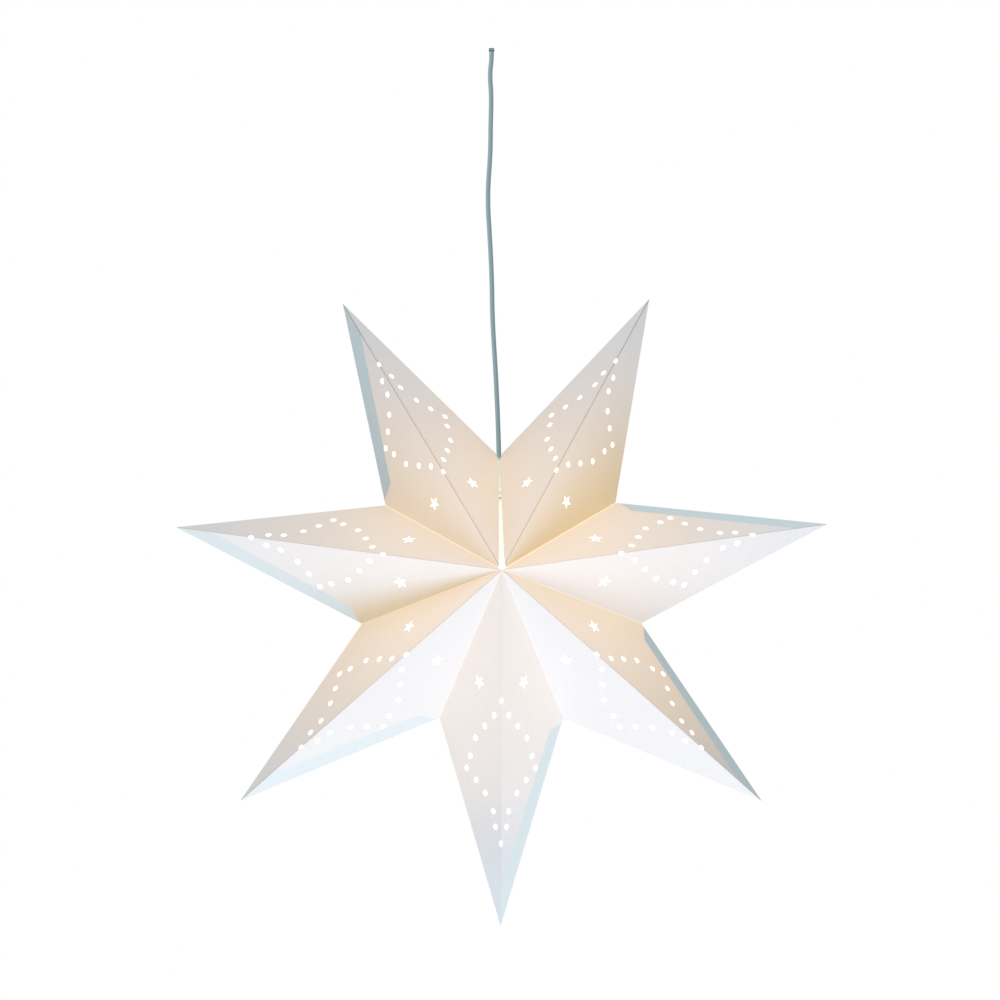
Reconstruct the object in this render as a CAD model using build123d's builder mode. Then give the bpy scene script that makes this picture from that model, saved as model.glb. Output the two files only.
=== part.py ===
# A seven-pointed star pendant: a hollow star of folded card that hangs on a flex over a small
# screw lampholder and its globe lamp. Millimetres, Z up. The origin is the middle of the collar
# at the top end of the flex. The front of the star faces -Y.
from math import asin, atan, cos, degrees, hypot, pi, radians, sin, tan
from build123d import *
import os

os.makedirs("parts", exist_ok=True)

# The star: its arms lie in the XZ plane round the middle of the star.
star_drop = 515.5  # from the origin down to the middle of the star
tip_radius = 308.0
tip_stretch = [2.5, 0.5, -0.5, -1.0, -0.5, -1.5, 1.0]  # each arm's own, from folding by hand
notch_radius = 132.7
seam_radius = 125.0  # the notch at the top, over the open seam
half_depth = 108.0  # from the middle to the front point or the back point
arm_bearings = [-91.2, -40.6, 10.3, 62.2, 117.8, 168.2, 218.4]  # degrees, from +X towards +Z
seam_bearing = 90.0
seam_gap = 6.0  # at the front and back points
seam_notch_gap = 2.4  # at the notch, where the seam is drawn together round the flex
card = 0.5
raw_block_margin = 1.1  # each arm is cut from a block this many times as large as the star
flange_width = 8.0
flange_end_gap = 6.0  # bare valley beyond each end of a flange
seam_flange_gap = 0.4  # between the seam's flanges at the notch, where they lean together
flap_width = 13.5  # at the end beside the notch
flap_notch_gap = 4.0
flap_tip_gap = 8.0
flap_on_ridge = 37.0  # from the tip along the ridge, to where the flap's inner edge meets it

# The pierced pattern on each facet: distance from the tip along the ridge, distance from the ridge.
ridge_dots = [76.5, 208.5]
facet_dots = [
    (91, 7.5), (105, 10.5), (120, 21.5), (130, 34), (139, 47),
    (151, 42), (169, 35), (182, 22.5), (194, 10),
]
dot_diameter = 5.6
star_hole_place = (221.5, 30)
star_hole_radius = 6.8
star_hole_waist = 2.9

# The flex and its end collar.
cord_diameter = 4.4
collar_diameter = 5.4
collar_length = 2.6
collar_seat = 1.0  # how far the flex goes up into the collar
push_fit = 0.1  # radial, between pieces that are pushed or screwed together
cord_hole_gap = 0.6
cord_hole_depth = 24.0  # through the card round the seam's notch

# The hanger bar, which turns on the neck of the lampholder.
bar_height = 83.5  # underside of the bar above the middle of the star
bar_thickness = 3.0
bar_half_length = 31.0
bar_width = 18.0
bar_corner = 4.0
bar_slot_gap = 0.2  # beside the seam's flanges, which share a slot at each end of the bar
swivel_gap = 0.08

# The lampholder.
neck_diameter = 10.0
neck_length = 10.0
cap_diameter = 28.0
cap_height = 26.0
cap_wall = 1.8
cap_rounding = 6.0
sheath_in_cap = 3.0  # how far the flex's sheath comes through the top of the cap
grip_screw_diameter = 3.0
grip_screw_height = 6.0  # above the shoulder of the cap
grip_screw_head = 1.2  # how far it stands out of the neck
screwdriver_slot = 0.6
spigot_length = 9.0
spigot_wall = 1.5
skirt_length = 30.0
skirt_wall = 4.6
skirt_rounding = 1.5
insert_thickness = 10.0
insert_sink = 2.0  # from the joint of cap and skirt down to the insert's underside
terminal_length = 5.0
terminal_depth = 7.0
terminal_height = 5.5
terminal_spacing = 13.0
core_diameter = 1.6
core_spacing = 2.0
core_straight = 2.0
core_in_terminal = 3.0
core_bend = 1.6
terminal_screw_diameter = 2.2
terminal_screw_length = 3.5
terminal_screw_head = 3.6
terminal_screw_head_length = 1.2
shell_wall = 0.4
shell_length = 21.0
shell_flange = 1.4
tongue_width = 4.0
tongue_thickness = 0.5
tongue_drop = 5.0
tongue_root = (-6.0, -3.5)
tongue_end = (-1.5, 2.5)

# The lamp.
thread_diameter = 13.8
thread_gap = 0.1
thread_pitch = 2.82
thread_turns = 5
thread_groove_radius = 0.8
thread_groove_depth = 0.3
bulb_cap_length = 18.0
bulb_cap_wall = 0.5
bulb_flare = 0.9
bulb_flare_length = 2.5
insulator_height = 3.5
insulator_top_diameter = 7.0
contact_diameter = 5.0
contact_height = 1.2
contact_gap = 0.05
globe_diameter = 45.0
globe_wall = 0.8
globe_drop = 31.0  # from the bottom of the bulb's cap to the middle of the globe
glass_tuck = 4.0  # how far the glass neck goes up into the bulb's cap
globe_fillet = 8.0
stem_length = 24.0
stem_diameter = 5.0
stem_flare_length = 1.2
lead_diameter = 0.7
lead_spacing = 2.0
lead_spread = 17.0
lead_drop = 7.0
lead_bend = 1.5
filament_diameter = 0.8
filament_drop = 4.0

star_middle = Vector(0, 0, -star_drop)
cord_radius = cord_diameter / 2
cord_top = -collar_length / 2 + collar_seat
shoulder = -star_drop + bar_height  # the flat on top of the lampholder's cap, under the bar
neck_top = shoulder + neck_length
cord_bottom = shoulder - cap_wall - sheath_in_cap


def finish(piece, name, colour):
    """Label a finished piece and write it to its own file."""
    piece.part.label = name
    piece.part.color = Color(colour)
    export_step(piece.part, f"parts/{name}.step")


def spoke(radius, bearing):
    """The point of the star's mid-plane at this radius and bearing."""
    turn = radians(bearing)
    return star_middle + Vector(radius * cos(turn), 0, radius * sin(turn))


def facet_plane(tip, notch, point):
    """The outer face of a facet: local x runs from the tip down the ridge, z points outwards."""
    normal = (point - tip).cross(notch - tip).normalized()
    if normal.dot(tip - star_middle) < 0:
        normal = -normal
    return Plane(origin=tip, x_dir=point - tip, z_dir=normal)


def valley_plane(bearing, side, gap):
    """The flat side of an arm at a valley: local x runs out to the notch, z leaves the arm."""
    outward = spoke(1, bearing) - star_middle
    normal = Vector(-outward.Z, 0, outward.X) * side
    return Plane(origin=star_middle - normal * gap, x_dir=outward, z_dir=normal)


# ---- the star's arms ----
def five_pointed(radius, waist):
    """The corners of a small five-pointed star, its first point towards the arm's tip."""
    corners = []
    for step in range(10):
        reach = waist if step % 2 else radius
        turn = radians(180 + 36 * step)
        corners.append((reach * cos(turn), reach * sin(turn)))
    return corners


def folded_cone(facets, inset):
    """The block inside the facets, or inside their planes moved in by the inset."""
    with BuildPart() as cone:
        with Locations(star_middle):
            block = 2 * raw_block_margin * tip_radius
            Box(block, 2 * raw_block_margin * half_depth, block)
        for plane in facets:
            split(bisect_by=plane.offset(-inset), keep=Keep.BOTTOM)
    return cone.part


def local_side(plane, point):
    """Whether the point lies on the plane's +y side or its -y side."""
    return 1 if plane.to_local_coords(point).Y > 0 else -1


def valley_fold(flank, facet):
    """Where a facet's fold meets the flank's axes: its reach along local x and along local y."""
    clearance = facet.z_dir.dot(facet.origin - flank.origin)
    return clearance / facet.z_dir.dot(flank.x_dir), clearance / facet.z_dir.dot(flank.y_dir)


def valley_flange(flank, facet, lean):
    """A strip along a facet's fold at a valley, turned in and glued to the next arm's.
    At the open seam it leans towards the next arm's instead."""
    reach, depth = valley_fold(flank, facet)
    notch = flank.from_local_coords((reach, 0))
    along = flank.from_local_coords((0, depth)) - notch
    inward = local_side(Plane(origin=notch, x_dir=along, z_dir=flank.z_dir), flank.origin)
    normal = flank.z_dir.rotate(Axis(notch, along), inward * lean)
    corners = [
        (flange_end_gap, 0),
        (along.length - flange_end_gap, 0),
        (along.length - flange_end_gap - flange_width, inward * flange_width),
        (flange_end_gap + flange_width, inward * flange_width),
    ]
    with BuildSketch(Plane(origin=notch, x_dir=along, z_dir=normal)) as strip:
        Polygon(*corners, align=None)
    return strip.sketch


def glue_flap(plane, notch, side):
    """The inner layer of card along a side edge, where the sheet is glued shut."""
    edge = plane.to_local_coords(notch)
    length = hypot(edge.X, edge.Y)
    along = Vector(edge.X, edge.Y) / length
    inward = Vector(along.Y, -along.X) * side
    end = along * (length - flap_notch_gap)
    corners = [
        along * flap_tip_gap,
        end,
        end + (inward - along) * flap_width,
        Vector(flap_on_ridge, 0),
        Vector(flap_tip_gap, 0),
    ]
    with BuildSketch(plane.offset(-card)) as flap:
        Polygon(*[(corner.X, corner.Y) for corner in corners], align=None)
    return flap.sketch


def piercing(plane, side):
    """The leaf-shaped ring of round holes and the star hole of one facet."""
    with BuildSketch(plane) as holes:
        with Locations(*[(from_tip, 0) for from_tip in ridge_dots]):
            Circle(dot_diameter / 2)
        with Locations(*[(from_tip, side * out) for from_tip, out in facet_dots]):
            Circle(dot_diameter / 2)
        with Locations((star_hole_place[0], side * star_hole_place[1])):
            Polygon(*five_pointed(star_hole_radius, star_hole_waist), align=None)
    return holes.sketch


arm_count = len(arm_bearings)
# the open seam lies between this arm and the next
seam_after = sum(bearing < seam_bearing for bearing in arm_bearings) - 1
seam_closing = degrees(atan((seam_gap - seam_notch_gap) / 2 / seam_radius))
seam_lean = degrees(asin((seam_notch_gap - seam_flange_gap) / 2 / flange_width))
for index, bearing in enumerate(arm_bearings):
    tip = spoke(tip_radius + tip_stretch[index], bearing)
    previous = arm_bearings[index - 1]
    following = arm_bearings[(index + 1) % arm_count]
    if index == 0:
        previous -= 360
    if index == arm_count - 1:
        following += 360
    valleys = {-1: (previous + bearing) / 2, 1: (bearing + following) / 2}
    radii = {-1: notch_radius, 1: notch_radius}
    gaps = {-1: 0, 1: 0}
    leans = {-1: 0, 1: 0}
    if index in (seam_after, seam_after + 1):
        open_side = 1 if index == seam_after else -1
        valleys[open_side] = seam_bearing + open_side * seam_closing
        radii[open_side] = seam_radius
        gaps[open_side] = seam_gap / 2
        leans[open_side] = seam_lean
    flanks = {side: valley_plane(valleys[side], side, gaps[side]) for side in (-1, 1)}
    notches = {side: flanks[side].from_local_coords((radii[side], 0)) for side in (-1, 1)}
    facets = {
        (side, face): facet_plane(tip, notches[side], star_middle + Vector(0, face * half_depth, 0))
        for side in (-1, 1)
        for face in (-1, 1)
    }
    hollow = folded_cone(facets.values(), card)
    with BuildPart() as arm:
        add(folded_cone(facets.values(), 0))
        add(hollow, mode=Mode.SUBTRACT)
        for side in (-1, 1):
            split(bisect_by=flanks[side], keep=Keep.BOTTOM)
        for (side, _), plane in facets.items():
            extrude(valley_flange(flanks[side], plane, leans[side]), amount=-card)
        flap_facet = facets[1, 1 if index == seam_after else -1]
        flap_side = local_side(flap_facet, notches[1])
        extrude(glue_flap(flap_facet, notches[1], flap_side), amount=-card)
        for (side, _), plane in facets.items():
            holes = piercing(plane, local_side(plane, notches[side]))
            extrude(holes, amount=2 * card, both=True, mode=Mode.SUBTRACT)
        with Locations(spoke(seam_radius, seam_bearing)):
            Cylinder(cord_radius + cord_hole_gap, cord_hole_depth, mode=Mode.SUBTRACT)
    finish(arm, f"arm_{index + 1}", "White")
    if index == seam_after:
        seam_reach, seam_depth = valley_fold(flanks[1], facets[1, 1])


# ---- the hanger bar ----
# Its slots end where the inner edges of the seam's flanges cross the top of the bar.
bar_top = bar_height + bar_thickness
along_share = 1 - bar_top / seam_reach
lean_turn = radians(seam_lean)
flange_inset = flange_width * cos(lean_turn) + card * sin(lean_turn)
slot_start = abs(seam_depth) * along_share - flange_inset * hypot(seam_reach, seam_depth) / seam_reach
slot_length = bar_half_length - slot_start
seam_gap_at_bar = seam_notch_gap + (seam_gap - seam_notch_gap) * along_share
slot_width = seam_gap_at_bar + 2 * (card / cos(lean_turn) + bar_slot_gap)
with BuildPart() as hanger_bar:
    with BuildSketch(Plane.XY.offset(shoulder)):
        RectangleRounded(bar_width, 2 * bar_half_length, bar_corner)
        Circle(neck_diameter / 2 + swivel_gap, mode=Mode.SUBTRACT)
        with GridLocations(0, 2 * slot_start + slot_length, 1, 2):
            Rectangle(slot_width, slot_length, mode=Mode.SUBTRACT)
    extrude(amount=bar_thickness)
finish(hanger_bar, "hanger_bar", "WhiteSmoke")

# ---- the flex ----
# It bows a little to the left and has a small kink near the top, as it came off its roll.
cord_route = [
    (0, 0, cord_top),
    (0, 0, -8.5),
    (-2.2, 0, -24),
    (-0.9, 0, -45),
    (-2.3, 0, -76),
    (-2.8, 0, -100),
    (-6.6, 0, -143),
    (-4.8, 0, -184),
    (-3.7, 0, -222),
    (-3.9, 0, -262),
    (-1.6, 0, -314),
    (0, 0, -376),
    (0, 0, cord_bottom),
]


def corner_radii(points):
    """An arc for each corner of a route, as large as the two runs beside it allow."""
    corners = [Vector(point) for point in points]
    radii = []
    for before, here, after in zip(corners, corners[1:], corners[2:]):
        run_in = here - before
        run_out = after - here
        shorter = min(run_in.length, run_out.length)
        radii.append(0.45 * shorter / tan(radians(run_in.get_angle(run_out)) / 2))
    return radii


cord_radii = corner_radii(cord_route)
with BuildPart() as cord:
    with BuildLine() as cord_path:
        FilletPolyline(*cord_route, radius=cord_radii)
    with BuildSketch(Plane.XY.offset(cord_top)):
        Circle(cord_radius)
    sweep(path=cord_path.line)
finish(cord, "cord", "SlateGray")
cord_length = sum(edge.length for edge in cord_path.edges())
volume_ratio = cord.part.volume / (pi * cord_radius**2 * cord_length)
print("flex radii", [round(radius) for radius in cord_radii])
print("flex length", round(cord_length, 1), "volume over section times length", round(volume_ratio, 4))

with BuildPart() as cord_end_collar:
    Cylinder(collar_diameter / 2, collar_length)
    with Locations((0, 0, -collar_length / 2)):
        Cylinder(cord_radius + push_fit / 2, 2 * collar_seat, mode=Mode.SUBTRACT)
finish(cord_end_collar, "cord_end_collar", "DimGray")


# ---- the lampholder ----
def half_section(corners, roundings=None):
    """A closed half section of a turned piece: (radius, z) corners, each sharp or rounded."""
    roundings = roundings or [0] * len(corners)
    with BuildSketch(Plane.XZ) as section:
        with BuildLine():
            FilletPolyline(*corners, radius=roundings, close=True)
        make_face()
    return section.sketch


neck_radius = neck_diameter / 2
cap_radius = cap_diameter / 2
cap_bore = cap_radius - cap_wall
cap_bottom = shoulder - cap_height
neck_bore = cord_radius + push_fit
with BuildPart() as holder_cap:
    corners = [
        (neck_bore, neck_top),
        (neck_radius, neck_top),
        (neck_radius, shoulder),
        (cap_radius, shoulder),
        (cap_radius, cap_bottom),
        (cap_bore, cap_bottom),
        (cap_bore, shoulder - cap_wall),
        (neck_bore, shoulder - cap_wall),
    ]
    roundings = [0, 0, 0, cap_rounding, 0, 0, cap_rounding - cap_wall, 0]
    revolve(half_section(corners, roundings), axis=Axis.Z)
    with BuildSketch(Plane.XZ):
        with Locations((0, shoulder + grip_screw_height)):
            Circle(grip_screw_diameter / 2)
    extrude(amount=neck_diameter, mode=Mode.SUBTRACT)
finish(holder_cap, "holder_cap", "White")

with BuildPart() as cord_grip_screw:
    with BuildSketch(Plane.XZ.offset(cord_radius)):
        with Locations((0, shoulder + grip_screw_height)):
            Circle(grip_screw_diameter / 2)
    extrude(amount=neck_radius + grip_screw_head - cord_radius)
    with BuildSketch(cord_grip_screw.faces().sort_by(Axis.Y)[0]):
        Rectangle(grip_screw_diameter, screwdriver_slot)
    extrude(amount=-screwdriver_slot, mode=Mode.SUBTRACT)
finish(cord_grip_screw, "cord_grip_screw", "White")

spigot_radius = cap_bore - push_fit
spigot_bore = spigot_radius - spigot_wall
spigot_top = cap_bottom + spigot_length
skirt_bottom = cap_bottom - skirt_length
skirt_bore = cap_radius - skirt_wall
insert_bottom = cap_bottom - insert_sink
insert_top = insert_bottom + insert_thickness
with BuildPart() as holder_skirt:
    corners = [
        (spigot_bore, spigot_top),
        (spigot_radius, spigot_top),
        (spigot_radius, cap_bottom),
        (cap_radius, cap_bottom),
        (cap_radius, skirt_bottom),
        (skirt_bore, skirt_bottom),
        (skirt_bore, insert_bottom),
        (spigot_bore, insert_bottom),
    ]
    roundings = [0, 0, 0, 0, skirt_rounding, 0, 0, 0]
    revolve(half_section(corners, roundings), axis=Axis.Z)
finish(holder_skirt, "holder_skirt", "White")

with BuildPart() as holder_insert:
    with Locations((0, 0, insert_bottom)):
        Cylinder(
            spigot_bore - push_fit,
            insert_thickness,
            align=(Align.CENTER, Align.CENTER, Align.MIN),
        )
finish(holder_insert, "holder_insert", "Ivory")

terminal_x = terminal_spacing / 2
terminal_top = insert_top + terminal_height
screw_z = insert_top + terminal_height / 2
for side, name in ((-1, "live"), (1, "neutral")):
    with BuildPart() as terminal:
        with Locations((side * terminal_x, 0, screw_z)):
            Box(terminal_length, terminal_depth, terminal_height)
        with Locations((side * terminal_x, 0, terminal_top)):
            Cylinder(core_diameter / 2 + push_fit, 2 * core_in_terminal, mode=Mode.SUBTRACT)
        with BuildSketch(Plane.XZ.offset(terminal_depth / 2)):
            with Locations((side * terminal_x, screw_z)):
                Circle(terminal_screw_diameter / 2)
        extrude(amount=-terminal_screw_length, mode=Mode.SUBTRACT)
    finish(terminal, f"terminal_{name}", "Gold")

    start_x = side * core_spacing / 2
    with BuildPart() as core:
        with BuildLine() as core_path:
            FilletPolyline(
                (start_x, 0, cord_bottom),
                (start_x, 0, cord_bottom - core_straight),
                (side * terminal_x, 0, terminal_top + core_straight),
                (side * terminal_x, 0, terminal_top - core_in_terminal),
                radius=core_bend,
            )
        with BuildSketch(Plane(origin=(start_x, 0, cord_bottom), z_dir=(0, 0, -1))):
            Circle(core_diameter / 2)
        sweep(path=core_path.line)
    finish(core, f"core_{name}", "SaddleBrown" if name == "live" else "RoyalBlue")

with BuildPart() as terminal_screws:
    with BuildSketch(Plane.XZ.offset(terminal_depth / 2)):
        with Locations((-terminal_x, screw_z), (terminal_x, screw_z)):
            Circle(terminal_screw_diameter / 2)
    extrude(amount=-(terminal_screw_length - core_diameter / 2 - push_fit))
    with BuildSketch(Plane.XZ.offset(terminal_depth / 2)):
        with Locations((-terminal_x, screw_z), (terminal_x, screw_z)):
            Circle(terminal_screw_head / 2)
    extrude(amount=terminal_screw_head_length)
    with BuildSketch(Plane.XZ.offset(terminal_depth / 2 + terminal_screw_head_length)):
        with Locations((-terminal_x, screw_z), (terminal_x, screw_z)):
            Rectangle(terminal_screw_head, screwdriver_slot)
    extrude(amount=-screwdriver_slot, mode=Mode.SUBTRACT)
finish(terminal_screws, "terminal_screws", "Silver")

thread_radius = thread_diameter / 2
shell_bore = thread_radius + thread_gap
with BuildPart() as screw_shell:
    corners = [
        (shell_bore, insert_bottom),
        (shell_bore + shell_wall + shell_flange, insert_bottom),
        (shell_bore + shell_wall + shell_flange, insert_bottom - shell_wall),
        (shell_bore + shell_wall, insert_bottom - shell_wall),
        (shell_bore + shell_wall, insert_bottom - shell_length),
        (shell_bore, insert_bottom - shell_length),
    ]
    revolve(half_section(corners), axis=Axis.Z)
finish(screw_shell, "screw_shell", "Gold")

tongue_bottom = insert_bottom - tongue_drop
with BuildPart() as centre_contact:
    with BuildSketch(Plane.XZ):
        Polygon(
            (tongue_root[0], insert_bottom),
            (tongue_root[1], insert_bottom),
            (tongue_end[0], tongue_bottom + tongue_thickness),
            (tongue_end[1], tongue_bottom + tongue_thickness),
            (tongue_end[1], tongue_bottom),
            (tongue_end[0] - tongue_thickness, tongue_bottom),
            (tongue_root[1] - tongue_thickness, insert_bottom - tongue_thickness),
            (tongue_root[0], insert_bottom - tongue_thickness),
            align=None,
        )
    extrude(amount=tongue_width / 2, both=True)
finish(centre_contact, "centre_contact", "Gold")

# ---- the lamp ----
contact_top = tongue_bottom - contact_gap
contact_bottom = contact_top - contact_height
bulb_cap_top = contact_bottom - insulator_height
bulb_cap_bottom = bulb_cap_top - bulb_cap_length
glass_radius = thread_radius - bulb_cap_wall - push_fit / 2
with BuildPart() as bulb_contact:
    with Locations((0, 0, contact_bottom)):
        Cylinder(
            contact_diameter / 2,
            contact_height,
            align=(Align.CENTER, Align.CENTER, Align.MIN),
        )
finish(bulb_contact, "bulb_contact", "Silver")

with BuildPart() as bulb_insulator:
    corners = [
        (0, contact_bottom),
        (insulator_top_diameter / 2, contact_bottom),
        (thread_radius, bulb_cap_top),
        (0, bulb_cap_top),
    ]
    revolve(half_section(corners), axis=Axis.Z)
finish(bulb_insulator, "bulb_insulator", "Black")

with BuildPart() as bulb_cap:
    flare_radius = thread_radius + bulb_flare
    corners = [
        (thread_radius - bulb_cap_wall, bulb_cap_top),
        (thread_radius, bulb_cap_top),
        (thread_radius, bulb_cap_bottom + bulb_flare_length),
        (flare_radius, bulb_cap_bottom),
        (thread_radius - bulb_cap_wall, bulb_cap_bottom),
    ]
    revolve(half_section(corners), axis=Axis.Z)
    groove_x = thread_radius + thread_groove_radius - thread_groove_depth
    grooves = [(groove_x, bulb_cap_top - turn * thread_pitch) for turn in range(1, thread_turns + 1)]
    with BuildSketch(Plane.XZ):
        with Locations(*grooves):
            Circle(thread_groove_radius)
    revolve(axis=Axis.Z, mode=Mode.SUBTRACT)
finish(bulb_cap, "bulb_cap", "Silver")

globe_z = bulb_cap_bottom - globe_drop
glass_top = bulb_cap_bottom + glass_tuck
with BuildPart() as bulb_globe:
    with BuildSketch(Plane.XZ) as glass:
        with Locations((0, globe_z)):
            Circle(globe_diameter / 2)
            Rectangle(2 * glass_radius, glass_top - globe_z, align=(Align.CENTER, Align.MIN))
        shoulders = glass.vertices().sort_by(Axis.Y)[:-2]
        fillet(shoulders.filter_by(lambda corner: abs(corner.X) > 1), globe_fillet)
        offset(amount=-globe_wall, mode=Mode.SUBTRACT)
        split(bisect_by=Plane.YZ)
    revolve(axis=Axis.Z)
finish(bulb_globe, "bulb_globe", "Ivory")

stem_top = glass_top - globe_wall
stem_bottom = stem_top - stem_length
with BuildPart() as bulb_stem:
    flare_radius = glass_radius - globe_wall - push_fit
    corners = [
        (0, stem_top),
        (flare_radius, stem_top),
        (flare_radius, stem_top - stem_flare_length),
        (stem_diameter / 2, stem_top - stem_flare_length - stem_diameter),
        (stem_diameter / 2, stem_bottom),
        (0, stem_bottom),
    ]
    revolve(half_section(corners), axis=Axis.Z)
finish(bulb_stem, "bulb_stem", "LightCyan")

lead_bottom = stem_bottom - lead_drop
lead_x = lead_spread / 2
with BuildPart() as bulb_leads:
    for side in (-1, 1):
        start_x = side * lead_spacing / 2
        with BuildLine() as lead_path:
            FilletPolyline(
                (start_x, 0, stem_bottom),
                (start_x, 0, stem_bottom - lead_bend),
                (side * lead_x, 0, lead_bottom + lead_bend),
                (side * lead_x, 0, lead_bottom),
                radius=lead_bend / 2,
            )
        with BuildSketch(Plane(origin=(start_x, 0, stem_bottom), z_dir=(0, 0, -1))):
            Circle(lead_diameter / 2)
        sweep(path=lead_path.line)
finish(bulb_leads, "bulb_leads", "Silver")

with BuildPart() as filament:
    with BuildLine() as filament_path:
        FilletPolyline(
            (-lead_x, 0, lead_bottom),
            (-lead_x, 0, lead_bottom - filament_drop),
            (lead_x, 0, lead_bottom - filament_drop),
            (lead_x, 0, lead_bottom),
            radius=0.9 * filament_drop,
        )
    with BuildSketch(Plane(origin=(-lead_x, 0, lead_bottom), z_dir=(0, 0, -1))):
        Circle(filament_diameter / 2)
    sweep(path=filament_path.line)
finish(filament, "filament", "Orange")
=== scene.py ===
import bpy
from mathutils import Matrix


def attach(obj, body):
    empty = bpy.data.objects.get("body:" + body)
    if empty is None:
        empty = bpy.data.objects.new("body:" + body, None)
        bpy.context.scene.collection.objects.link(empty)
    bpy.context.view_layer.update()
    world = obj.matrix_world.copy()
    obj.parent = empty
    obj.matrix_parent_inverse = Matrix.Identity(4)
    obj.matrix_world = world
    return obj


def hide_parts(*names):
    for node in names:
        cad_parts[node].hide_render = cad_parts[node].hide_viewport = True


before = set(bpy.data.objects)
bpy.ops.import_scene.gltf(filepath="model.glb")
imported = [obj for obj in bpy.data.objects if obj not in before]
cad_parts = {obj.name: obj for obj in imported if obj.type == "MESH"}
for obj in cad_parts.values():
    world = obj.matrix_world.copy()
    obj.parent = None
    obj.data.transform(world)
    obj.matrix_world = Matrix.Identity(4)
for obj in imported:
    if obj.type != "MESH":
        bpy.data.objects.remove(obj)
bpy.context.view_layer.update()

from math import cos, hypot, radians, sin
import bpy
from mathutils import Quaternion, Vector

scene = bpy.context.scene
scene.view_settings.view_transform = "Standard"
print("frame loaded:", len(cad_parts), "CAD nodes")

# metres throughout; the front of the star faces -Y
star = {
    "middle": Vector((0, 0, -0.5155)),
    "tipRadius": 0.308,
    "notchRadius": 0.1327,
    "seamRadius": 0.125,
    "halfDepth": 0.108,
    "bearings": [-91.2, -40.6, 10.3, 62.2, 117.8, 168.2, 218.4],  # degrees, arm_1 to arm_7
    "tipStretch": [0.0025, 0.0005, -0.0005, -0.001, -0.0005, -0.0015, 0.001],
    "seamBearing": 90,
    "seamArms": (3, 4),  # the arms on each side of the open seam, counted from 0
    "flapWidth": 0.0135,
    "flapNotchGap": 0.004,
    "flapOnRidge": 0.037,  # from the tip along the ridge, where the flap's inner edge meets it
}


camera = {
    "position": (-0.0248, -3.6513, -1.0936),
    "target": (0.0001, 0, -0.4325),
    "roll": -1.06,  # degrees round the line of sight
    "lens": 144.18,
    "sensor": 36,
}
bpy.ops.object.camera_add(location=camera["position"])
cameraObject = bpy.context.object
cameraObject.name = "camera"
sight = Vector(camera["target"]) - Vector(camera["position"])
turn = sight.to_track_quat("-Z", "Y") @ Quaternion((0, 0, 1), radians(camera["roll"]))
cameraObject.rotation_mode = "QUATERNION"
cameraObject.rotation_quaternion = turn
cameraObject.data.lens = camera["lens"]
cameraObject.data.sensor_width = camera["sensor"]
scene.camera = cameraObject
print("camera set")


flex = {
    "diameter": 0.0044,
    "length": 0.437,
    "holderEnd": (0, 0, -0.4368),
    "route": [
        (0, 0, -0.0003),
        (0, 0, -0.0085),
        (-0.0022, 0, -0.024),
        (-0.0009, 0, -0.045),
        (-0.0023, 0, -0.076),
        (-0.0028, 0, -0.100),
        (-0.0066, 0, -0.143),
        (-0.0048, 0, -0.184),
        (-0.0037, 0, -0.222),
        (-0.0039, 0, -0.262),
        (-0.0016, 0, -0.314),
        (0, 0, -0.376),
        (0, 0, -0.4368),
    ],
}


def makeFlex():
    curve = bpy.data.curves.new("flex", "CURVE")
    curve.dimensions = "3D"
    spline = curve.splines.new("NURBS")
    spline.points.add(len(flex["route"]) - 1)
    for point, place in zip(spline.points, flex["route"]):
        point.co = (*place, 1)
        point.radius = flex["diameter"] / 2  # times the bevel depth of 1
    spline.order_u = 3
    spline.use_endpoint_u = True
    spline.resolution_u = 12
    curve.bevel_depth = 1
    curve.bevel_resolution = 6
    curve.use_fill_caps = True
    piece = bpy.data.objects.new("flex", curve)
    scene.collection.objects.link(piece)
    return piece


flexPiece = makeFlex()
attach(flexPiece, "flex_and_holder")
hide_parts("cord")
print("flex hung")


def addNode(tree, kind, **settings):
    node = tree.nodes.new(kind)
    for name, value in settings.items():
        setattr(node, name, value)
    return node


def feed(tree, socket, value):
    if isinstance(value, bpy.types.NodeSocket):
        tree.links.new(value, socket)
    else:
        socket.default_value = value


def calc(tree, operation, *values, clamp=False):
    node = addNode(tree, "ShaderNodeMath", operation=operation, use_clamp=clamp)
    for socket, value in zip(node.inputs, values):
        feed(tree, socket, value)
    return node.outputs[0]


def dot(tree, vector, other):
    node = addNode(tree, "ShaderNodeVectorMath", operation="DOT_PRODUCT")
    feed(tree, node.inputs[0], vector)
    feed(tree, node.inputs[1], other)
    return node.outputs["Value"]


# 0 below low, 1 above high, and smooth between; high may be the lower one
def stepUp(tree, value, low, high):
    node = addNode(tree, "ShaderNodeMapRange", interpolation_type="SMOOTHSTEP")
    feed(tree, node.inputs["Value"], value)
    node.inputs["From Min"].default_value = low
    node.inputs["From Max"].default_value = high
    return node.outputs["Result"]


def mixColour(tree, factor, first, second, kind="MIX"):
    node = addNode(tree, "ShaderNodeMix", data_type="RGBA", blend_type=kind)
    feed(tree, node.inputs["Factor"], factor)
    feed(tree, node.inputs[6], first)
    feed(tree, node.inputs[7], second)
    return node.outputs[2]


def noise(tree, vector, scale, detail=3, roughness=0.5):
    node = addNode(tree, "ShaderNodeTexNoise")
    feed(tree, node.inputs["Vector"], vector)
    node.inputs["Scale"].default_value = scale
    node.inputs["Detail"].default_value = detail
    node.inputs["Roughness"].default_value = roughness
    return node.outputs["Fac"]


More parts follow.
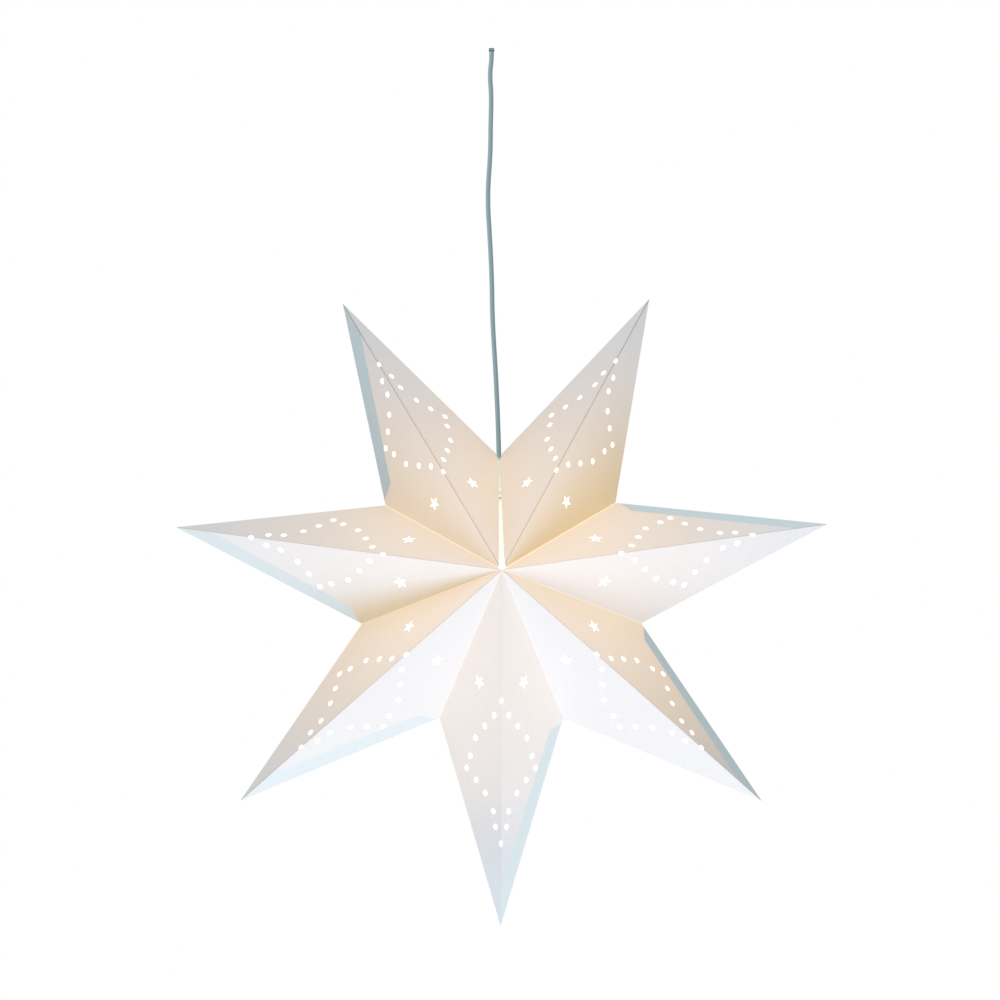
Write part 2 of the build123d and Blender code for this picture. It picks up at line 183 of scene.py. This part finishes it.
def newGroup(name, inputs, outputs):
    tree = bpy.data.node_groups.new(name, "ShaderNodeTree")
    for label, kind in inputs:
        tree.interface.new_socket(label, in_out="INPUT", socket_type="NodeSocket" + kind)
    for label, kind in outputs:
        tree.interface.new_socket(label, in_out="OUTPUT", socket_type="NodeSocket" + kind)
    return tree, addNode(tree, "NodeGroupInput").outputs, addNode(tree, "NodeGroupOutput").inputs


def useGroup(tree, group, **values):
    node = addNode(tree, "ShaderNodeGroup", node_tree=group)
    for label, value in values.items():
        feed(tree, node.inputs[label], value)
    return node.outputs


def newMaterial(name):
    material = bpy.data.materials.new(name)
    material.use_nodes = True
    tree = material.node_tree
    return material, tree, tree.nodes["Principled BSDF"]


def bump(tree, height, strength, distance):
    node = addNode(tree, "ShaderNodeBump")
    node.inputs["Strength"].default_value = strength
    node.inputs["Distance"].default_value = distance
    feed(tree, node.inputs["Height"], height)
    return node.outputs["Normal"]


def rgb(red, green, blue):
    return (red, green, blue, 1)


card = {
    # upWhite and lowWhite: painted light, card that faces down is drawn a little bluer than card that
    # faces up
    "upWhite": rgb(0.86, 0.86, 0.88),
    "lowWhite": rgb(0.86, 0.865, 0.905),
    "tan": rgb(0.93, 0.85, 0.74),  # painted warm shade where card that faces up looks beige
    # tip: painted cool outside light at the tips, away from the lamp's glow
    "tip": rgb(0.76, 0.83, 0.92),
    "valley": rgb(0.86, 0.76, 0.56),  # painted shade: how the card darkens and yellows beside a valley
    # upFlap and lowFlap: painted shade where the glued flap's double card holds back the lamp's light,
    # darker where the card faces up
    "upFlap": rgb(0.62, 0.74, 0.78),
    "lowFlap": rgb(0.76, 0.85, 0.90),
    "flapTone": [1.1, 0.9, 1.2, 1.1, 0.9, 1, 1],  # how light each flap's painted shade is, arm_1 to arm_7
    "flapShare": [0.95, 0.80, 0.85, 1, 1, 0.95, 1],  # how wide each flap shows through the card
    # painted shade along each arm's ridge crease
    "creaseShadeGrey": rgb(0.40, 0.37, 0.37),
    "glow": rgb(0.27, 0.15, 0.035),
    "glowFull": 0.105,  # distances from the lamp where its glow is full and where it ends
    "glowEnd": 0.275,
    "lineLight": rgb(0.30, 0.26, 0.14),
    # inside: painted lamplight on the card's inner faces, as emission
    "inside": rgb(0.98, 0.95, 0.82),
    "insideNear": 0.5,
    "insideFar": 0.4,
    "flangeDim": 0.35,  # share of the inner light on the flanges
    "tanLeast": 0.25,  # share of the painted warm shade that is left at the middle
    "tanFrom": 0.1,
    "tanTo": 0.2,
    "valleyShadeFull": 0.15,
    "valleyShadeEnd": 0.27,
    "tipFrom": 0.17,
    "tipTo": 0.29,
    # each arm's left and right side: share of the glow, how dark and how dark at its tip as painted
    # shade, how much painted warm shade, and how much painted shade beside its valley, out to what share
    # of the distance from the middle
    "sides": [
        ((0.5, 1.0, 1.03, 0.0, 0.0, 0.1), (0.5, 0.99, 0.82, 0.1, 0.1, 0.3)),
        ((1.05, 0.98, 0.9, 0.9, 0.3, 0.5), (0.05, 1.0, 1.0, 0.0, 0.0, 0.1)),
        ((1.1, 1.0, 1.15, 0.1, 0.1, 0.4), (0.35, 1.02, 1.0, 0.0, 0.05, 0.3)),
        ((0.95, 0.95, 1.1, 0.0, 0.2, 0.4), (1.0, 0.885, 1.05, 0.1, 1.0, 0.55)),
        ((1.0, 0.87, 1.05, 0.1, 0.35, 0.5), (1.0, 0.93, 1.07, 0.0, 0.2, 0.4)),
        ((0.35, 1.0, 1.02, 0.0, 1.0, 0.26), (0.95, 0.99, 1.05, 0.15, 0.15, 0.4)),
        ((0.05, 1.0, 1.0, 0.0, 0.0, 0.1), (1.1, 0.99, 1.05, 0.4, 0.35, 0.4)),
    ],
    # how much painted cool light each arm's tip gets, arm_1 to arm_7
    "coolTipLight": [1.0, 0.1, 0.1, 0.1, 0.1, 0.1, 0.1],
    # how strong the painted crease shade is on each arm, arm_1 to arm_7
    "crease": [0.1, 0.5, 0.4, 0.9, 0.9, 0.4, 0.5],
    "valleyLine": [0.1, 0.5, 1.2, 0.3, 0.8, 0.5, 0.15],  # painted lamp light leaking along each valley, from arm 1 with arm 2, onwards
    # where each mask is 0 and where it is 1, in metres apart from upEdge, a height of the normal
    "insideEdge": (0.045, 0.035),
    "upEdge": (-0.45, 0.0),
    "creaseEdge": (0.0006, 0.0002),
    "lineEdge": (0.0006, 0.0001),
    "flangeEdge": (0.004, 0.003),
    "flapEdge": (-0.0003, 0.0003),
    "cloudScale": 60,
    "cloudShare": 0.16,  # how far the glow varies, as card is never quite even
    "fineScale": 1400,
    "fineShare": 0.6,  # of the tooth's height; the rest is the coarse tooth
    "coarseScale": 240,
    "mottleShare": 0.05,
    "creaseDepth": 1.5,
    "roughness": 0.78,
    "specular": 0.25,
    "bumpStrength": 0.25,
    "bumpDistance": 0.0002,
}


# how much of the lamp's light comes through the card at a place
def makeLampGlow():
    tree, given, out = newGroup(
        "lampGlow", [("Reach", "Float"), ("Place", "Vector")], [("Glow", "Float")]
    )
    glow = calc(tree, "SUBTRACT", card["glowEnd"], given["Reach"])
    glow = calc(tree, "DIVIDE", glow, card["glowEnd"] - card["glowFull"], clamp=True)
    cloud = noise(tree, given["Place"], card["cloudScale"], 4, 0.55)
    cloudy = calc(tree, "MULTIPLY_ADD", cloud, card["cloudShare"], 1 - card["cloudShare"] / 2)
    feed(tree, out["Glow"], calc(tree, "MULTIPLY", glow, cloudy))
    return tree


# the strip where the card is double, along one side edge of an arm
def makeFlapMask():
    tree, given, out = newGroup(
        "flapMask",
        [
            ("Place", "Vector"), ("Tip", "Vector"), ("Along", "Vector"), ("Length", "Float"),
            ("Width", "Float"), ("Widening", "Float"), ("Rise", "Float"), ("Face", "Float"),
        ],
        [("Flap", "Float")],
    )
    fromTip = addNode(tree, "ShaderNodeVectorMath", operation="SUBTRACT")
    feed(tree, fromTip.inputs[0], given["Place"])
    feed(tree, fromTip.inputs[1], given["Tip"])
    along = dot(tree, fromTip.outputs[0], given["Along"])
    parts = addNode(tree, "ShaderNodeSeparateXYZ")
    feed(tree, parts.inputs[0], given["Place"])
    across = calc(tree, "MULTIPLY", calc(tree, "ABSOLUTE", parts.outputs["Y"]), given["Rise"])
    flapEnd = calc(tree, "SUBTRACT", given["Length"], star["flapNotchGap"])
    fromEnd = calc(tree, "SUBTRACT", flapEnd, along)
    width = calc(tree, "MULTIPLY_ADD", fromEnd, given["Widening"], given["Width"])
    limit = calc(tree, "MINIMUM", width, fromEnd)
    inside = stepUp(tree, calc(tree, "SUBTRACT", limit, across), *card["flapEdge"])
    side = calc(tree, "GREATER_THAN", parts.outputs["Z"], 0)
    face = calc(tree, "GREATER_THAN", calc(tree, "MULTIPLY", parts.outputs["Y"], given["Face"]), 0)
    feed(tree, out["Flap"], calc(tree, "MULTIPLY", calc(tree, "MULTIPLY", inside, side), face))
    return tree


# the crease down an arm's ridge, and how far a place is from each of its two valleys
def makeFoldMasks():
    tree, given, out = newGroup(
        "foldMasks",
        [("Place", "Vector"), ("Left valley", "Vector"), ("Right valley", "Vector")],
        [("Crease", "Float"), ("Off left", "Float"), ("Off right", "Float")],
    )
    parts = addNode(tree, "ShaderNodeSeparateXYZ")
    feed(tree, parts.inputs[0], given["Place"])
    offRidge = calc(tree, "ABSOLUTE", parts.outputs["Z"])
    feed(tree, out["Crease"], stepUp(tree, offRidge, *card["creaseEdge"]))
    feed(tree, out["Off left"], dot(tree, given["Place"], given["Left valley"]))
    feed(tree, out["Off right"], dot(tree, given["Place"], given["Right valley"]))
    return tree


# the fine tooth of matt card: a colour mottle and a height
def makeCardFibre():
    tree, given, out = newGroup(
        "cardFibre", [("Place", "Vector")], [("Mottle", "Float"), ("Height", "Float")]
    )
    fine = noise(tree, given["Place"], card["fineScale"], 4, 0.65)
    coarse = noise(tree, given["Place"], card["coarseScale"], 3, 0.5)
    mottle = calc(tree, "MULTIPLY_ADD", coarse, card["mottleShare"], 1 - card["mottleShare"] / 2)
    feed(tree, out["Mottle"], mottle)
    coarseHeight = calc(tree, "MULTIPLY", coarse, 1 - card["fineShare"])
    feed(tree, out["Height"], calc(tree, "MULTIPLY_ADD", fine, card["fineShare"], coarseHeight))
    return tree


def cardMaterial(index):
    bearings = star["bearings"]
    bearing = bearings[index]
    following = bearings[(index + 1) % len(bearings)] + (360 if index == len(bearings) - 1 else 0)
    previous = bearings[index - 1] - (360 if index == 0 else 0)
    toLeft = radians((following - bearing) / 2)
    toRight = radians((bearing - previous) / 2)
    notchRadius = star["notchRadius"]
    if index == star["seamArms"][0]:
        toLeft = radians(star["seamBearing"] - bearing)
        notchRadius = star["seamRadius"]
    if index == star["seamArms"][1]:
        toRight = radians(bearing - star["seamBearing"])
    tip = Vector((star["tipRadius"] + star["tipStretch"][index], 0, 0))
    notch = Vector((notchRadius * cos(toLeft), 0, notchRadius * sin(toLeft)))
    apex = Vector((0, -star["halfDepth"], 0))
    edge = notch - tip
    rise = hypot(1, tip.x * notch.z / edge.length / star["halfDepth"])
    tipAngle = (apex - tip).angle(edge)
    ridgeAlong = star["flapOnRidge"] * cos(tipAngle)
    ridgeWidth = star["flapOnRidge"] * sin(tipAngle)
    flapRun = edge.length - star["flapNotchGap"] - ridgeAlong
    shown = card["flapShare"][index]

    material, tree, shader = newMaterial(f"card_{index + 1}")
    coordinates = addNode(tree, "ShaderNodeTexCoord")
    mapping = addNode(tree, "ShaderNodeMapping", vector_type="TEXTURE")
    mapping.inputs["Location"].default_value = star["middle"]
    mapping.inputs["Rotation"].default_value = (0, -radians(bearing), 0)
    feed(tree, mapping.inputs["Vector"], coordinates.outputs["Object"])
    place = mapping.outputs["Vector"]
    placeParts = addNode(tree, "ShaderNodeSeparateXYZ")
    feed(tree, placeParts.inputs[0], place)
    onLeft = calc(tree, "GREATER_THAN", placeParts.outputs["Z"], 0)

    outward = addNode(tree, "ShaderNodeVectorMath", operation="SUBTRACT")
    feed(tree, outward.inputs[0], coordinates.outputs["Object"])
    outward.inputs[1].default_value = star["middle"]
    facing = dot(tree, outward.outputs[0], coordinates.outputs["Normal"])
    inside = stepUp(tree, facing, *card["insideEdge"])
    length = addNode(tree, "ShaderNodeVectorMath", operation="LENGTH")
    feed(tree, length.inputs[0], place)
    reach = length.outputs["Value"]
    nearTip = stepUp(tree, reach, card["tipFrom"], card["tipTo"])
    normalParts = addNode(tree, "ShaderNodeSeparateXYZ")
    feed(tree, normalParts.inputs[0], coordinates.outputs["Normal"])
    up = stepUp(tree, normalParts.outputs["Z"], *card["upEdge"])

    glow = useGroup(tree, lampGlow, Reach=reach, Place=place)["Glow"]
    flap = useGroup(
        tree, flapMask, Place=place, Tip=tip, Along=edge.normalized(), Length=edge.length,
        Width=star["flapWidth"] * shown, Widening=(ridgeWidth - star["flapWidth"]) / flapRun * shown,
        Rise=rise, Face=1 if index == star["seamArms"][0] else -1,
    )["Flap"]
    folds = useGroup(
        tree, foldMasks, Place=place,
        **{
            "Left valley": (sin(toLeft), 0, -cos(toLeft)),
            "Right valley": (sin(toRight), 0, cos(toRight)),
        },
    )
    fibre = useGroup(tree, cardFibre, Place=coordinates.outputs["Object"])
    sides = card["sides"][index]
    share, tone, tipTone, tan, valleyShadeMost, valleyShadeWidth = [
        calc(tree, "MULTIPLY_ADD", onLeft, left - right, right) for left, right in zip(*sides)
    ]
    flat = addNode(tree, "ShaderNodeVectorMath", operation="MULTIPLY")
    feed(tree, flat.inputs[0], place)
    flat.inputs[1].default_value = (1, 0, 1)
    radius = addNode(tree, "ShaderNodeVectorMath", operation="LENGTH")
    feed(tree, radius.inputs[0], flat.outputs[0])
    # painted shade beside each valley, fading towards the tip and away from the valley
    nearValley = calc(tree, "MINIMUM", folds["Off left"], folds["Off right"])
    off = calc(tree, "DIVIDE", nearValley, calc(tree, "MULTIPLY", radius.outputs["Value"], valleyShadeWidth))
    valleyShade = calc(tree, "MULTIPLY", stepUp(tree, off, 1, 0), valleyShadeMost)
    valleyShade = calc(tree, "MULTIPLY", valleyShade, stepUp(tree, reach, card["valleyShadeEnd"], card["valleyShadeFull"]))

    # painted light: the card's colour follows the Z of its normal, with lower facets bluer
    base = mixColour(tree, up, card["lowWhite"], card["upWhite"])
    # painted shade: each side is darkened by its own tone, and by its tip tone towards the tip
    base = mixColour(tree, 1.0, base, tone, "MULTIPLY")
    base = mixColour(tree, nearTip, base, mixColour(tree, 1.0, base, tipTone, "MULTIPLY"))
    # painted warm shade, stronger away from the middle
    tanShare = stepUp(tree, reach, card["tanFrom"], card["tanTo"])
    tanShare = calc(tree, "MULTIPLY_ADD", tanShare, 1 - card["tanLeast"], card["tanLeast"])
    tan = calc(tree, "MULTIPLY", tan, tanShare)
    base = mixColour(tree, tan, base, mixColour(tree, 1.0, base, card["tan"], "MULTIPLY"))
    # painted cool light towards the tips
    base = mixColour(tree, calc(tree, "MULTIPLY", nearTip, card["coolTipLight"][index]), base, card["tip"])
    # painted shade, darker and yellower beside the valleys
    base = mixColour(tree, valleyShade, base, mixColour(tree, 1.0, base, card["valley"], "MULTIPLY"))
    # painted shade of the doubled card along the flap
    doubled = mixColour(tree, up, card["lowFlap"], card["upFlap"])
    flapTone = card["flapTone"][index]
    doubled = mixColour(tree, 1.0, doubled, rgb(flapTone, flapTone, flapTone), "MULTIPLY")
    base = mixColour(tree, flap, base, doubled)
    # painted shade along the ridge crease, stronger on some arms
    crease = calc(tree, "MULTIPLY", folds["Crease"], card["crease"][index])
    base = mixColour(tree, crease, base, card["creaseShadeGrey"])
    base = mixColour(tree, 1.0, base, fibre["Mottle"], "MULTIPLY")
    feed(tree, shader.inputs["Base Color"], base)

    single = calc(tree, "SUBTRACT", 1, flap)
    strength = calc(tree, "MULTIPLY", calc(tree, "MULTIPLY", glow, share), single)
    light = mixColour(tree, 1.0, card["glow"], strength, "MULTIPLY")
    # painted lamp light in a thin line along each valley
    lines = [
        calc(tree, "MULTIPLY", stepUp(tree, folds[label], *card["lineEdge"]), card["valleyLine"][which])
        for label, which in (("Off left", index), ("Off right", index - 1))
    ]
    line = calc(tree, "MULTIPLY", calc(tree, "ADD", *lines), glow)
    light = mixColour(tree, 1.0, light, mixColour(tree, 1.0, card["lineLight"], line, "MULTIPLY"), "ADD")
    # painted lamplight on the inner faces, less on the flanges
    inner = calc(tree, "MULTIPLY_ADD", glow, card["insideNear"] - card["insideFar"], card["insideFar"])
    onFlange = stepUp(tree, nearValley, *card["flangeEdge"])
    inner = calc(tree, "MULTIPLY", inner, calc(tree, "MULTIPLY_ADD", onFlange, card["flangeDim"] - 1, 1))
    light = mixColour(tree, inside, light, mixColour(tree, 1.0, card["inside"], inner, "MULTIPLY"))
    feed(tree, shader.inputs["Emission Color"], light)
    shader.inputs["Emission Strength"].default_value = 1
    shader.inputs["Roughness"].default_value = card["roughness"]
    shader.inputs["Specular IOR Level"].default_value = card["specular"]

    creaseDepth = calc(tree, "MULTIPLY", folds["Crease"], card["creaseDepth"])
    height = calc(tree, "SUBTRACT", fibre["Height"], creaseDepth)
    feed(tree, shader.inputs["Normal"], bump(tree, height, card["bumpStrength"], card["bumpDistance"]))
    return material


lampGlow = makeLampGlow()
flapMask = makeFlapMask()
foldMasks = makeFoldMasks()
cardFibre = makeCardFibre()


def dress(node, material):
    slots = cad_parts[node].data.materials
    slots.clear()
    slots.append(material)


for index in range(len(star["bearings"])):
    dress(f"arm_{index + 1}", cardMaterial(index))
print("card made")


sheath = {
    # light and dark: the flex's colour on its lit side and on its painted-shade side
    "light": rgb(0.36, 0.50, 0.55),
    "dark": rgb(0.20, 0.31, 0.34),
    "lamplight": rgb(0.42, 0.33, 0.19),  # on the stretch inside the star
    "litFrom": -0.391,
    "litTo": -0.397,
    "litVary": 0.2,
    "shadeFrom": -0.6,  # painted shade across the flex, by the X of its normal
    "shadeTo": 0.8,
    "grainScale": 700,
    "grainStretch": 0.06,
    "grainShare": 0.25,
    "grainMiddle": 0.12,
    "roughness": 0.42,
    "bumpStrength": 0.15,
    "bumpDistance": 0.0001,
}


def sheathMaterial():
    material, tree, shader = newMaterial("flexSheath")
    coordinates = addNode(tree, "ShaderNodeTexCoord")
    parts = addNode(tree, "ShaderNodeSeparateXYZ")
    feed(tree, parts.inputs[0], coordinates.outputs["Normal"])
    # painted shade: one side of the flex is drawn darker, mixed with its grain
    side = stepUp(tree, parts.outputs["X"], sheath["shadeFrom"], sheath["shadeTo"])
    streak = addNode(tree, "ShaderNodeMapping")
    feed(tree, streak.inputs["Vector"], coordinates.outputs["Object"])
    streak.inputs["Scale"].default_value = (1, 1, sheath["grainStretch"])
    grain = noise(tree, streak.outputs["Vector"], sheath["grainScale"])
    side = calc(tree, "SUBTRACT", side, sheath["grainMiddle"])
    tone = calc(tree, "MULTIPLY_ADD", grain, sheath["grainShare"], side, clamp=True)
    feed(tree, shader.inputs["Base Color"], mixColour(tree, tone, sheath["light"], sheath["dark"]))
    heights = addNode(tree, "ShaderNodeSeparateXYZ")
    feed(tree, heights.inputs[0], coordinates.outputs["Object"])
    lit = stepUp(tree, heights.outputs["Z"], sheath["litFrom"], sheath["litTo"])
    uneven = calc(tree, "MULTIPLY_ADD", grain, sheath["litVary"], 1 - sheath["litVary"] / 2)
    lit = calc(tree, "MULTIPLY", lit, uneven)
    feed(tree, shader.inputs["Emission Color"], mixColour(tree, lit, rgb(0, 0, 0), sheath["lamplight"]))
    shader.inputs["Emission Strength"].default_value = 1
    shader.inputs["Roughness"].default_value = sheath["roughness"]
    height = bump(tree, grain, sheath["bumpStrength"], sheath["bumpDistance"])
    feed(tree, shader.inputs["Normal"], height)
    return material


collar = {
    "dark": rgb(0.10, 0.135, 0.14),
    "pale": rgb(0.34, 0.41, 0.42),
    "bandFoot": (-0.0005, -0.0002),  # heights where the pale band begins and ends
    "bandHead": (0.0009, 0.0006),
    "grainScale": 2500,
    "grainWander": 0.0002,
    "roughness": 0.6,
    "bumpStrength": 0.2,
    "bumpDistance": 0.0001,
}


def rubberMaterial():
    material, tree, shader = newMaterial("collarRubber")
    coordinates = addNode(tree, "ShaderNodeTexCoord")
    grain = noise(tree, coordinates.outputs["Object"], collar["grainScale"])
    heights = addNode(tree, "ShaderNodeSeparateXYZ")
    feed(tree, heights.inputs[0], coordinates.outputs["Object"])
    height = calc(tree, "MULTIPLY_ADD", grain, collar["grainWander"], heights.outputs["Z"])
    aboveFoot = stepUp(tree, height, *collar["bandFoot"])
    pale = calc(tree, "MULTIPLY", aboveFoot, stepUp(tree, height, *collar["bandHead"]))
    feed(tree, shader.inputs["Base Color"], mixColour(tree, pale, collar["dark"], collar["pale"]))
    shader.inputs["Roughness"].default_value = collar["roughness"]
    tooth = bump(tree, grain, collar["bumpStrength"], collar["bumpDistance"])
    feed(tree, shader.inputs["Normal"], tooth)
    return material


flexPiece.data.materials.append(sheathMaterial())
dress("cord_end_collar", rubberMaterial())
print("flex coloured")


surface = {
    "smudgeDetail": 5,
    "smudgeRough": 0.25,
    "smoothest": 0.1,  # how far below its own roughness a clean spot lies
    "fineScale": 3000,
    "bumpStrength": 0.15,
    "bumpDistance": 0.00005,
}


# fine scratches and smudges: a mask for roughness and a height
def makeWear():
    tree, given, out = newGroup(
        "wear", [("Place", "Vector"), ("Scale", "Float")], [("Smudge", "Float"), ("Height", "Float")]
    )
    node = addNode(tree, "ShaderNodeTexNoise")
    feed(tree, node.inputs["Vector"], given["Place"])
    feed(tree, node.inputs["Scale"], given["Scale"])
    node.inputs["Detail"].default_value = surface["smudgeDetail"]
    feed(tree, out["Smudge"], node.outputs["Fac"])
    feed(tree, out["Height"], noise(tree, given["Place"], surface["fineScale"], 2))
    return tree


wear = makeWear()
fittings = {
    "holderPlastic": {
        "colour": rgb(0.86, 0.85, 0.82), "shade": rgb(0.78, 0.76, 0.72),
        "rough": 0.3, "metal": 0, "scale": 90,
        "nodes": ["holder_cap", "holder_skirt", "cord_grip_screw"],
    },
    "barPlastic": {
        "colour": rgb(0.84, 0.84, 0.82), "shade": rgb(0.76, 0.75, 0.72),
        "rough": 0.55, "metal": 0, "scale": 120,
        "nodes": ["hanger_bar"],
    },
    "insertCeramic": {
        "colour": rgb(0.84, 0.80, 0.70), "shade": rgb(0.72, 0.67, 0.57),
        "rough": 0.7, "metal": 0, "scale": 260,
        "nodes": ["holder_insert"],
    },
    "brass": {
        "colour": rgb(0.80, 0.60, 0.28), "shade": rgb(0.62, 0.44, 0.18),
        "rough": 0.32, "metal": 1, "scale": 220,
        "nodes": ["terminal_live", "terminal_neutral", "screw_shell", "centre_contact"],
    },
    "steel": {
        "colour": rgb(0.62, 0.62, 0.61), "shade": rgb(0.45, 0.45, 0.45),
        "rough": 0.35, "metal": 1, "scale": 300,
        "nodes": ["terminal_screws", "bulb_leads"],
    },
    "capMetal": {
        "colour": rgb(0.80, 0.80, 0.79), "shade": rgb(0.64, 0.64, 0.63),
        "rough": 0.28, "metal": 1, "scale": 240,
        "nodes": ["bulb_cap"],
    },
    "vitrite": {
        "colour": rgb(0.02, 0.02, 0.025), "shade": rgb(0.05, 0.05, 0.055),
        "rough": 0.18, "metal": 0, "scale": 200,
        "nodes": ["bulb_insulator"],
    },
    "solder": {
        "colour": rgb(0.58, 0.58, 0.56), "shade": rgb(0.42, 0.42, 0.41),
        "rough": 0.45, "metal": 1, "scale": 500,
        "nodes": ["bulb_contact"],
    },
    "brownCore": {
        "colour": rgb(0.16, 0.07, 0.03), "shade": rgb(0.11, 0.05, 0.02),
        "rough": 0.4, "metal": 0, "scale": 400,
        "nodes": ["core_live"],
    },
    "blueCore": {
        "colour": rgb(0.03, 0.10, 0.35), "shade": rgb(0.02, 0.07, 0.25),
        "rough": 0.4, "metal": 0, "scale": 400,
        "nodes": ["core_neutral"],
    },
}


def fittingMaterial(name):
    look = fittings[name]
    material, tree, shader = newMaterial(name)
    coordinates = addNode(tree, "ShaderNodeTexCoord")
    worn = useGroup(tree, wear, Place=coordinates.outputs["Object"], Scale=look["scale"])
    colour = mixColour(tree, worn["Smudge"], look["colour"], look["shade"])
    feed(tree, shader.inputs["Base Color"], colour)
    smoothest = look["rough"] - surface["smoothest"]
    rough = calc(tree, "MULTIPLY_ADD", worn["Smudge"], surface["smudgeRough"], smoothest)
    feed(tree, shader.inputs["Roughness"], rough)
    shader.inputs["Metallic"].default_value = look["metal"]
    scratches = bump(tree, worn["Height"], surface["bumpStrength"], surface["bumpDistance"])
    feed(tree, shader.inputs["Normal"], scratches)
    return material


for name, look in fittings.items():
    material = fittingMaterial(name)
    for node in look["nodes"]:
        dress(node, material)

lamp = {
    "opal": rgb(0.95, 0.92, 0.86),
    "opalPale": rgb(0.98, 0.96, 0.92),
    "light": rgb(1.0, 0.88, 0.68),
    "lightPale": rgb(1.0, 0.93, 0.78),
    "power": 2.5,
    "cloudScale": 70,
    "roughness": 0.35,
}
stem = {
    "glass": rgb(0.95, 0.97, 0.96),
    "smearScale": 200,
    "smearRough": 0.1,
    "refraction": 1.5,
}
filament = {
    "wire": rgb(0.2, 0.18, 0.16),
    "hot": rgb(1.0, 0.62, 0.25),
    "hottest": rgb(1.0, 0.8, 0.5),
    "flickerScale": 900,
    "power": 3,
}


def opalMaterial():
    material, tree, shader = newMaterial("opalGlass")
    coordinates = addNode(tree, "ShaderNodeTexCoord")
    cloud = noise(tree, coordinates.outputs["Object"], lamp["cloudScale"])
    feed(tree, shader.inputs["Base Color"], mixColour(tree, cloud, lamp["opal"], lamp["opalPale"]))
    light = mixColour(tree, cloud, lamp["light"], lamp["lightPale"])
    feed(tree, shader.inputs["Emission Color"], light)
    shader.inputs["Emission Strength"].default_value = lamp["power"]
    shader.inputs["Roughness"].default_value = lamp["roughness"]
    return material


def glassMaterial():
    material, tree, shader = newMaterial("stemGlass")
    coordinates = addNode(tree, "ShaderNodeTexCoord")
    smear = noise(tree, coordinates.outputs["Object"], stem["smearScale"])
    feed(tree, shader.inputs["Roughness"], calc(tree, "MULTIPLY", smear, stem["smearRough"]))
    shader.inputs["Base Color"].default_value = stem["glass"]
    shader.inputs["Transmission Weight"].default_value = 1
    shader.inputs["IOR"].default_value = stem["refraction"]
    return material


def filamentMaterial():
    material, tree, shader = newMaterial("filamentHot")
    coordinates = addNode(tree, "ShaderNodeTexCoord")
    flicker = noise(tree, coordinates.outputs["Object"], filament["flickerScale"])
    light = mixColour(tree, flicker, filament["hot"], filament["hottest"])
    feed(tree, shader.inputs["Emission Color"], light)
    shader.inputs["Base Color"].default_value = filament["wire"]
    shader.inputs["Emission Strength"].default_value = filament["power"]
    return material


dress("bulb_globe", opalMaterial())
dress("bulb_stem", glassMaterial())
dress("filament", filamentMaterial())
print("lampholder and lamp made")


stage = {
    "floorZ": -3.0,
    "floorRadius": 5,
    "floorCorners": 96,
    "floorRoughness": 0.8,
    "floorColour": rgb(0.88, 0.88, 0.87),
    "floorWhite": 0.85,  # how far the camera sees the floor as plain white; the rest keeps the shadow
    "ambient": 0.72,
    "keyPlace": (0, -0.75, -2.45),
    "keySize": 1.6,
    "keyPower": 19,
}


# 1 where the camera sees a surface, also in metal or through glass
def seenRays(tree):
    path = addNode(tree, "ShaderNodeLightPath")
    seen = calc(tree, "MAXIMUM", path.outputs["Is Camera Ray"], path.outputs["Is Glossy Ray"])
    return calc(tree, "MAXIMUM", seen, path.outputs["Is Transmission Ray"])


def makeFloor():
    bpy.ops.object.select_all(action="DESELECT")
    bpy.ops.mesh.primitive_circle_add(
        vertices=stage["floorCorners"],
        radius=stage["floorRadius"],
        fill_type="NGON",
        location=(0, 0, stage["floorZ"]),
    )
    floor = bpy.context.object
    floor.name = "floor"
    material, tree, shader = newMaterial("floorPaint")
    shader.inputs["Base Color"].default_value = stage["floorColour"]
    shader.inputs["Roughness"].default_value = stage["floorRoughness"]
    white = addNode(tree, "ShaderNodeEmission")
    mix = addNode(tree, "ShaderNodeMixShader")
    feed(tree, mix.inputs[0], calc(tree, "MULTIPLY", seenRays(tree), stage["floorWhite"]))
    tree.links.new(shader.outputs[0], mix.inputs[1])
    tree.links.new(white.outputs[0], mix.inputs[2])
    tree.links.new(mix.outputs[0], tree.nodes["Material Output"].inputs["Surface"])
    floor.data.materials.append(material)
    return floor


def makeKeyLight():
    bpy.ops.object.light_add(type="AREA", location=stage["keyPlace"])
    light = bpy.context.object
    light.name = "keyLight"
    light.data.size = stage["keySize"]
    light.data.energy = stage["keyPower"]
    aim = star["middle"] - Vector(stage["keyPlace"])
    light.rotation_euler = aim.to_track_quat("-Z", "Y").to_euler()
    light.visible_camera = False
    return light


def makeWorld():
    world = bpy.data.worlds.new("studio")
    scene.world = world
    world.use_nodes = True
    tree = world.node_tree
    light = tree.nodes["Background"]
    light.inputs["Color"].default_value = rgb(1, 1, 1)
    light.inputs["Strength"].default_value = stage["ambient"]
    seen = addNode(tree, "ShaderNodeBackground")
    seen.inputs["Color"].default_value = rgb(1, 1, 1)
    mix = addNode(tree, "ShaderNodeMixShader")
    feed(tree, mix.inputs[0], seenRays(tree))
    tree.links.new(light.outputs[0], mix.inputs[1])
    tree.links.new(seen.outputs[0], mix.inputs[2])
    tree.links.new(mix.outputs[0], tree.nodes["World Output"].inputs["Surface"])


makeFloor()
makeKeyLight()
makeWorld()
print("stage set")
